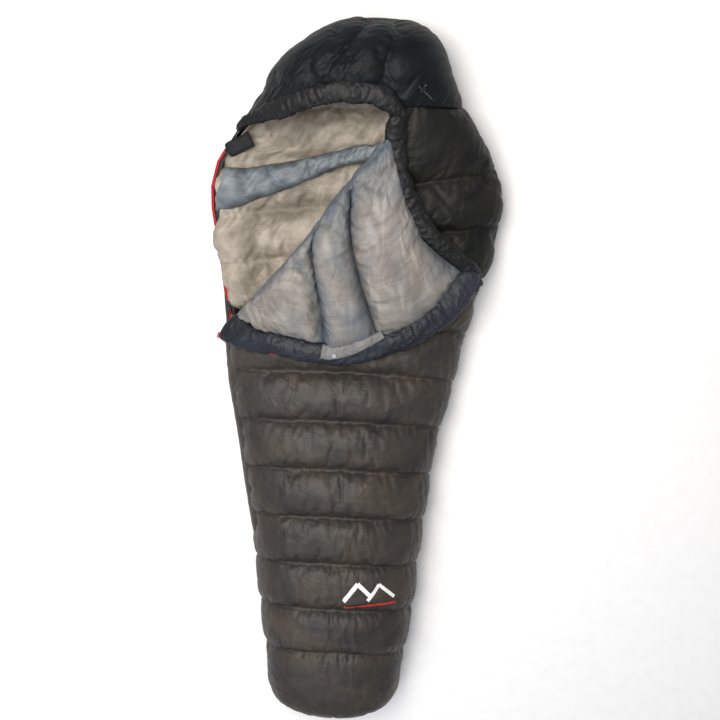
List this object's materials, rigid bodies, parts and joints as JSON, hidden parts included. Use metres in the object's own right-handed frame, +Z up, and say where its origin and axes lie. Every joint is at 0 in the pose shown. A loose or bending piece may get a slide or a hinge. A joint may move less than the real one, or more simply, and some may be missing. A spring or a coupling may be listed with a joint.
{
  "type": "mummy sleeping bag",
  "caption": "Tapered down sleeping bag with a domed hood, cross-baffled chambers, side zip and its front corner folded open over the chest.",
  "frame": {"origin": "on the floor under the middle of the bag's outer box, with the bag lying on its back", "axes": "+Z up, +Y towards the head, +X to the side away from the zip"},
  "size_m": [0.836, 2.1, 0.2663],
  "materials": {
    "body_nylon": "calendered ripstop nylon, dark taupe, satin",
    "hood_nylon": "calendered nylon, blue-black, satin",
    "slate_nylon": "calendered nylon, navy slate, satin",
    "taupe_lining": "soft nylon lining, taupe, low sheen",
    "grey_lining": "soft nylon lining, warm grey, low sheen",
    "collar_lining": "soft nylon lining, blue-grey, low sheen",
    "down": "down clusters, white",
    "red_coil": "polyester zip coil on its tape, red",
    "black_webbing": "woven polyester, black",
    "black_plastic": "moulded acetal, black",
    "black_metal": "black lacquered zinc",
    "steel": "nickelled snap",
    "grey_cord": "braided elastic cord, light grey"
  },
  "bodies": {
    "root": {"back_shell": "body_nylon", "front_shell": "body_nylon", "foot_panel": "body_nylon", "shoulder_shell": "hood_nylon", "hood_shell_left": "hood_nylon", "hood_shell_crown": "hood_nylon", "hood_shell_right": "hood_nylon", "hood_hem": "slate_nylon", "draft_tube_lower": "slate_nylon", "back_lining": "taupe_lining", "hood_lining": "taupe_lining", "side_roll": "taupe_lining", "front_lining": "grey_lining", "shoulder_lining": "grey_lining", "back_collar": "collar_lining", "back_down_1": "down", "back_down_2": "down", "back_down_3": "down", "back_down_4": "down", "front_down_1": "down", "front_down_2": "down", "front_down_3": "down", "front_down_4": "down", "front_down_5": "down", "front_down_6": "down", "front_down_7": "down", "front_down_8": "down", "shoulder_down_1": "down", "shoulder_down_2": "down", "shoulder_down_3": "down", "shoulder_down_4": "down", "foot_down": "down", "hood_down_left": "down", "hood_down_crown": "down", "hood_down_right": "down", "zip_half_body": "red_coil", "zip_chain_closed": "red_coil", "loop_patch": "black_webbing", "hang_loop_right": "black_webbing", "hang_loop_left": "black_webbing", "cord_end": "black_plastic", "zip_stop_top": "black_metal", "zip_stop_bottom": "black_metal", "face_cord": "grey_cord"},
    "flap": {"flap_shell": "body_nylon", "flap_lining": "grey_lining", "flap_down_lower": "down", "flap_down_collar": "down", "flap_down_neck": "down", "draft_tube_flap": "slate_nylon", "flap_hem": "slate_nylon", "zip_half_flap": "red_coil", "snap_cap": "steel"},
    "slider": {"zip_slider": "black_metal"},
    "pull": {"zip_pull": "black_metal"},
    "tab": {"closure_tab": "hood_nylon", "hook_patch": "black_webbing"},
    "lock": {"cord_lock": "black_plastic", "cord_lock_spring": "steel"},
    "lock_button": {"cord_lock_button": "black_plastic"}
  },
  "joints": [
    {"name": "flap_fold", "type": "hinge", "parent": "root", "child": "flap", "pos_m": [-0.368, 0.142, 0.155], "axis": [0.6021, 0.7927, 0.0953], "range_deg": [-150, 0]},
    {"name": "zip_slide", "type": "slide", "parent": "root", "child": "slider", "axis": [-0.1863, 0.9825, 0], "range_m": [0, 0.24]},
    {"name": "zip_pull_swing", "type": "hinge", "parent": "slider", "child": "pull", "pos_m": [-0.35879, 0.22786, 0.0756], "axis": [-0.9825, -0.1863, 0], "range_deg": [0, 150]},
    {"name": "tab_lift", "type": "hinge", "parent": "root", "child": "tab", "pos_m": [-0.302, 0.7, 0.0858], "axis": [-0.4848, 0.8746, 0], "range_deg": [0, 85]},
    {"name": "lock_slide", "type": "slide", "parent": "root", "child": "lock", "axis": [0.7229, -0.5623, -0.4016], "range_m": [0, 0.024]},
    {"name": "lock_press", "type": "slide", "parent": "lock", "child": "lock_button", "axis": [-0.6139, -0.7894, 0], "range_m": [0, 0.0024], "stiffness_N_per_m": 300, "springref_m": -0.002}
  ]
}
